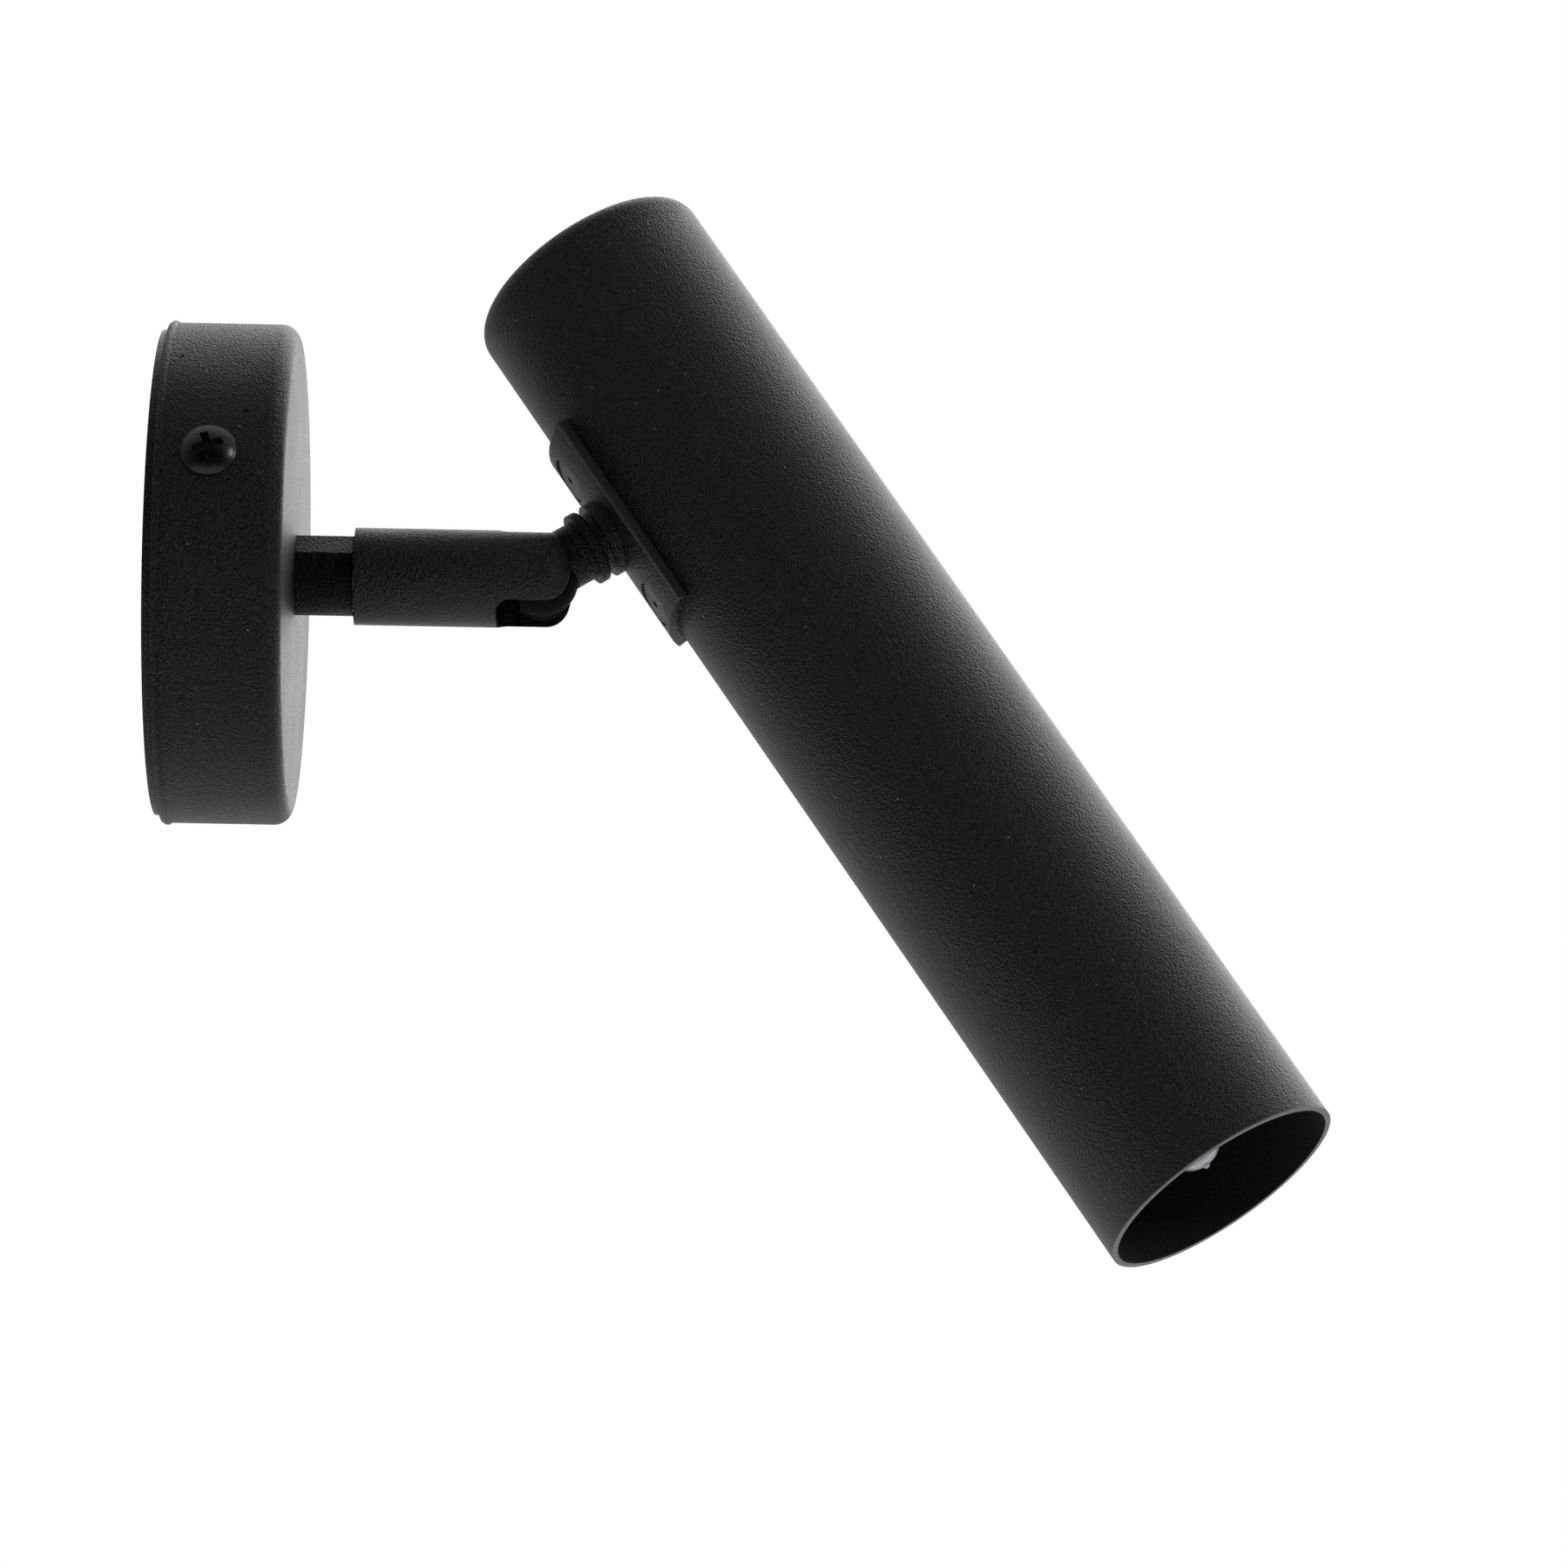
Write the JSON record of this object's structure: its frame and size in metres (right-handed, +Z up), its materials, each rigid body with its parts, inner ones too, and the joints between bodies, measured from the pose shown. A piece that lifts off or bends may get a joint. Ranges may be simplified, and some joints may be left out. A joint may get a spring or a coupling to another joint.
{
  "type": "adjustable tube wall light",
  "caption": "Wall light: a round wall canopy, a short arm with a swivel and tilt joint, and a long straight tube shade with a capsule lamp at its open lower end.",
  "frame": {"origin": "centre of the wall plate's back face, where it meets the wall, midway between the two wall screws", "axes": "+X straight out of the wall along the arm, +Z up, +Y along the wall; the lamp head is in the pictured pose"},
  "size_m": [0.2326, 0.1286, 0.211],
  "materials": {
    "coat": "fine-textured black powder coat",
    "steel": "zinc-plated, satin",
    "brass": "turned brass",
    "lamp_wire": "bright drawn wire",
    "fibre": "matt black fibre",
    "ceramic": "half-matt glazed ceramic",
    "nylon": "matt moulded nylon",
    "rubber": "matt rubber",
    "black_lead": "silicone lead sleeve",
    "earth_sleeve": "green lead sleeve",
    "white_lead": "woven glass-fibre sleeve",
    "bulb_glass": "clear lamp glass"
  },
  "bodies": {
    "wall_mount": {"wall_plate": "coat", "cable_grommet": "rubber", "terminal_block": "nylon", "terminal_screws": "brass", "block_screw": "steel", "earth_screw": "brass", "earth_terminal": "brass", "earth_lead": "earth_sleeve", "canopy_leads": "black_lead", "canopy_cover": "coat", "canopy_screws": "coat", "canopy_nut": "steel", "tooth_washer": "steel", "arm_collar": "coat", "swivel_spindle": "steel"},
    "housing": {"swivel_bush": "brass", "swivel_washer": "fibre", "stop_ring": "steel", "joint_housing": "coat", "pivot_pins": "coat", "friction_washers": "fibre"},
    "lamp_head": {"knuckle": "coat", "neck_spacer": "coat", "saddle_plate": "coat", "saddle_rivets": "coat", "hollow_stud": "steel", "inner_spacer": "steel", "stud_nut": "steel", "lamp_tube": "coat", "end_cap": "coat", "holder_bracket": "steel", "lamp_holder": "ceramic", "holder_contacts": "brass", "holder_screws": "steel", "bulb_glass": "bulb_glass", "bulb_pins": "lamp_wire", "bulb_filament": "lamp_wire", "head_leads": "white_lead"}
  },
  "joints": [
    {"name": "arm_swivel", "type": "hinge", "parent": "wall_mount", "child": "housing", "pos_m": [0.0461, 0, 0], "axis": [1, 0, 0], "range_deg": [-140.4, 189.6]},
    {"name": "head_tilt", "type": "hinge", "parent": "housing", "child": "lamp_head", "pos_m": [0.0761, 0, 0], "axis": [0, 0.9092, -0.4163], "range_deg": [-38.9, 58.1]}
  ]
}
